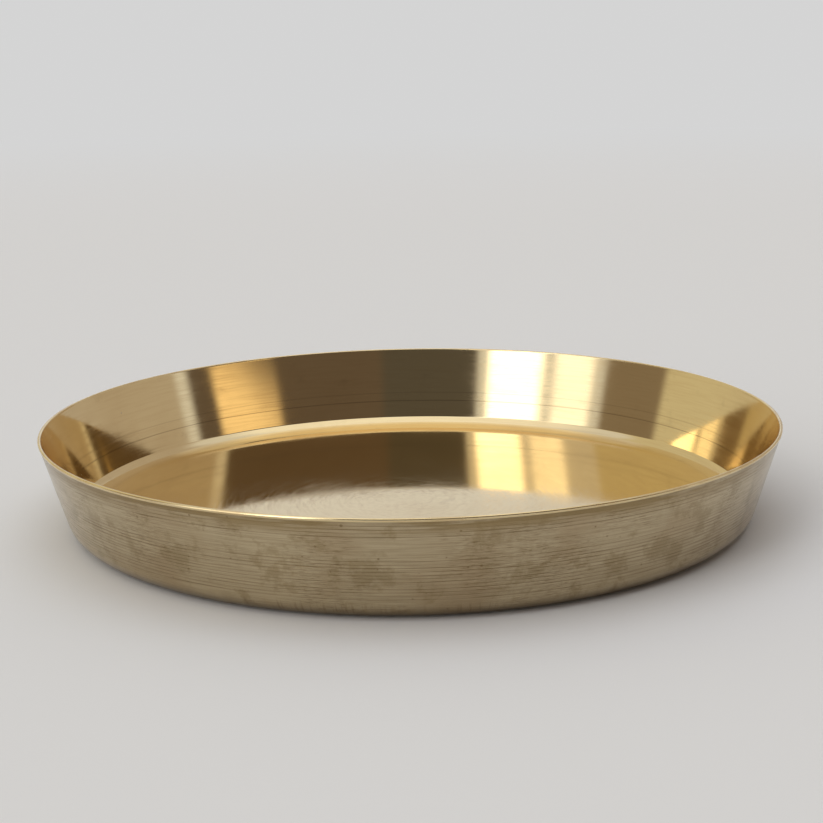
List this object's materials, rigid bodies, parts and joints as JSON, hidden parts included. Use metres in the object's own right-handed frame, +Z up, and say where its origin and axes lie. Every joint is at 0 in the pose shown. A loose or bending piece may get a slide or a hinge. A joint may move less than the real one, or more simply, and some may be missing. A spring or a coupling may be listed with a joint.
{
  "type": "offering plate",
  "caption": "Round deep metal offering plate with a flat base, tight rounded corner, straight flared wall, thin beaded rim, turned lines outside and a polished inside.",
  "frame": {"origin": "centre of the flat base, on the plane it rests on", "axes": "+Z up along the axis of turning; X and Y are free, because the dish is round"},
  "size_m": [0.32, 0.32, 0.0415],
  "materials": {
    "bronze": "mirror polished inside and on the rim, satin turned outside with light tarnish"
  },
  "bodies": {
    "root": {"dish": "bronze"}
  },
  "joints": []
}
